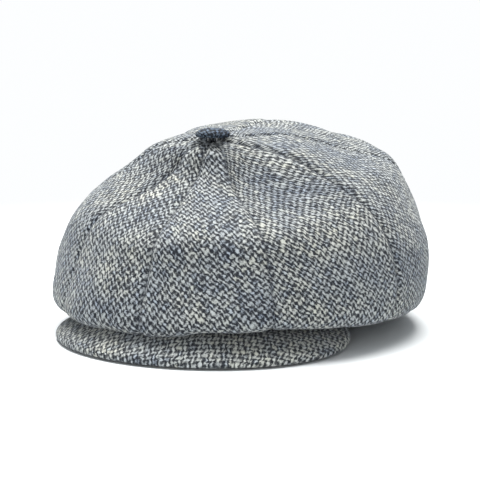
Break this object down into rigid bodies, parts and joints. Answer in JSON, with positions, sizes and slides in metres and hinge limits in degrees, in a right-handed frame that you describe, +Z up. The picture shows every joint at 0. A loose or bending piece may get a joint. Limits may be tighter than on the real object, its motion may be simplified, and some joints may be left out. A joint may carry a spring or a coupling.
{
  "type": "newsboy cap",
  "caption": "Eight-panel tweed newsboy cap: full gored crown with covered top button, headband, sweatband, lining and stiff sewn peak that flexes at its seam.",
  "frame": {"origin": "middle of the headband's oval, on the surface the cap stands on", "axes": "the peak points to -Y, +X is the wearer's left, +Z is up"},
  "size_m": [0.2712, 0.3087, 0.148],
  "materials": {
    "tweed": "coarse blue-grey and cream flecked wool tweed",
    "button_metal": "plain pressed steel",
    "canvas": "stiff natural canvas",
    "sweatband_cotton": "ribbed dark cotton tape",
    "lining_satin": "smooth satin lining",
    "label_cloth": "blank woven label",
    "peak_board": "flexible moulded peak board"
  },
  "bodies": {
    "cap": {"crown_panel_left_1": "tweed", "crown_panel_left_2": "tweed", "crown_panel_left_3": "tweed", "crown_panel_left_4": "tweed", "crown_panel_right_4": "tweed", "crown_panel_right_3": "tweed", "crown_panel_right_2": "tweed", "crown_panel_right_1": "tweed", "button_cover": "tweed", "button_shell": "button_metal", "button_back": "button_metal", "headband": "tweed", "headband_canvas": "canvas", "sweatband": "sweatband_cotton", "lining_left": "lining_satin", "lining_right": "lining_satin", "lining_tip": "lining_satin", "lining_label": "label_cloth"},
    "peak": {"peak_under_cover": "tweed", "peak_board": "peak_board", "peak_upper_cover": "tweed"}
  },
  "joints": [
    {"name": "peak_flex", "type": "hinge", "parent": "cap", "child": "peak", "pos_m": [0, -0.07, 0.012], "axis": [1, 0, 0], "range_deg": [0, 10], "stiffness_Nm_per_rad": 0.6, "springref_deg": -5.73}
  ]
}
